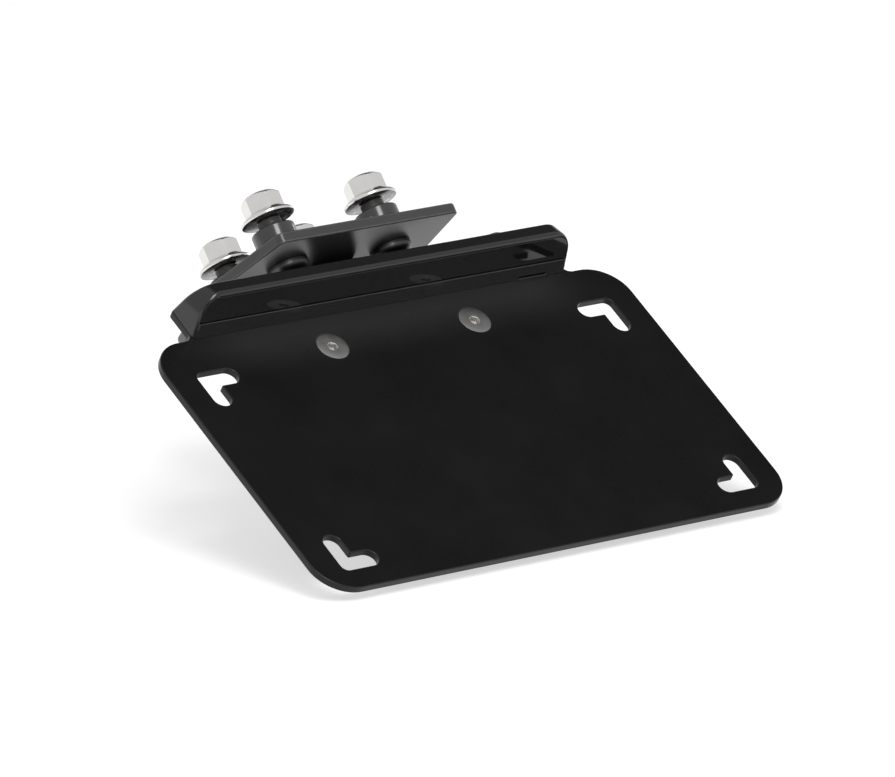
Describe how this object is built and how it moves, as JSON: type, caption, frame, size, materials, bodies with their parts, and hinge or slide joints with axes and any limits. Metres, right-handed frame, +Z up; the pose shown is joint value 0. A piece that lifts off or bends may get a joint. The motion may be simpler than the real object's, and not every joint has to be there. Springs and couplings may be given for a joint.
{
  "type": "motorcycle tail tidy",
  "caption": "Number-plate holder with L-shaped corner slots and a plate-light hood, hung below a flat tail bracket on shouldered studs with collars and flanged nuts.",
  "frame": {"origin": "middle of the rectangle of studs, level with the top faces of the collars that bear on the underside of the tail", "axes": "+X to the right seen from behind the motorcycle, along the top edge of the number-plate holder; +Y forwards, away from the viewer of the holder; +Z up, as in the picture. The studs lean forwards by 36.4 degrees from +Z and the holder rises forwards at 33.2 degrees"},
  "size_m": [0.178, 0.1553, 0.0917],
  "materials": {
    "black_coat": "satin black powder coat",
    "collar_coat": "gloss black",
    "smoked_cover": "gloss smoked",
    "board": "matte",
    "diode": "gloss",
    "rubber": "matte",
    "black_steel": "black oxide",
    "zinc_steel": "zinc plated",
    "bright_steel": "bright, lightly brushed",
    "lock_ring": "satin nylon"
  },
  "bodies": {
    "root": {"plate_holder": "black_coat", "mounting_bracket": "black_coat", "plate_support": "black_coat", "light_hood": "black_coat", "light_cover": "smoked_cover", "light_board": "board", "light_diodes": "diode", "lead_grommet": "rubber", "plate_screw_left": "black_steel", "plate_washer_left": "zinc_steel", "plate_nut_left": "zinc_steel", "hood_screw_left": "black_steel", "plate_screw_right": "black_steel", "plate_washer_right": "zinc_steel", "plate_nut_right": "zinc_steel", "hood_screw_right": "black_steel", "mount_bolt_rear_left": "black_steel", "collar_rear_left": "collar_coat", "flange_nut_rear_left": "bright_steel", "lock_ring_rear_left": "lock_ring", "mount_bolt_rear_right": "black_steel", "collar_rear_right": "collar_coat", "flange_nut_rear_right": "bright_steel", "lock_ring_rear_right": "lock_ring", "mount_bolt_front_left": "black_steel", "collar_front_left": "collar_coat", "flange_nut_front_left": "bright_steel", "lock_ring_front_left": "lock_ring", "mount_bolt_front_right": "black_steel", "collar_front_right": "collar_coat", "flange_nut_front_right": "bright_steel", "lock_ring_front_right": "lock_ring"}
  },
  "joints": []
}
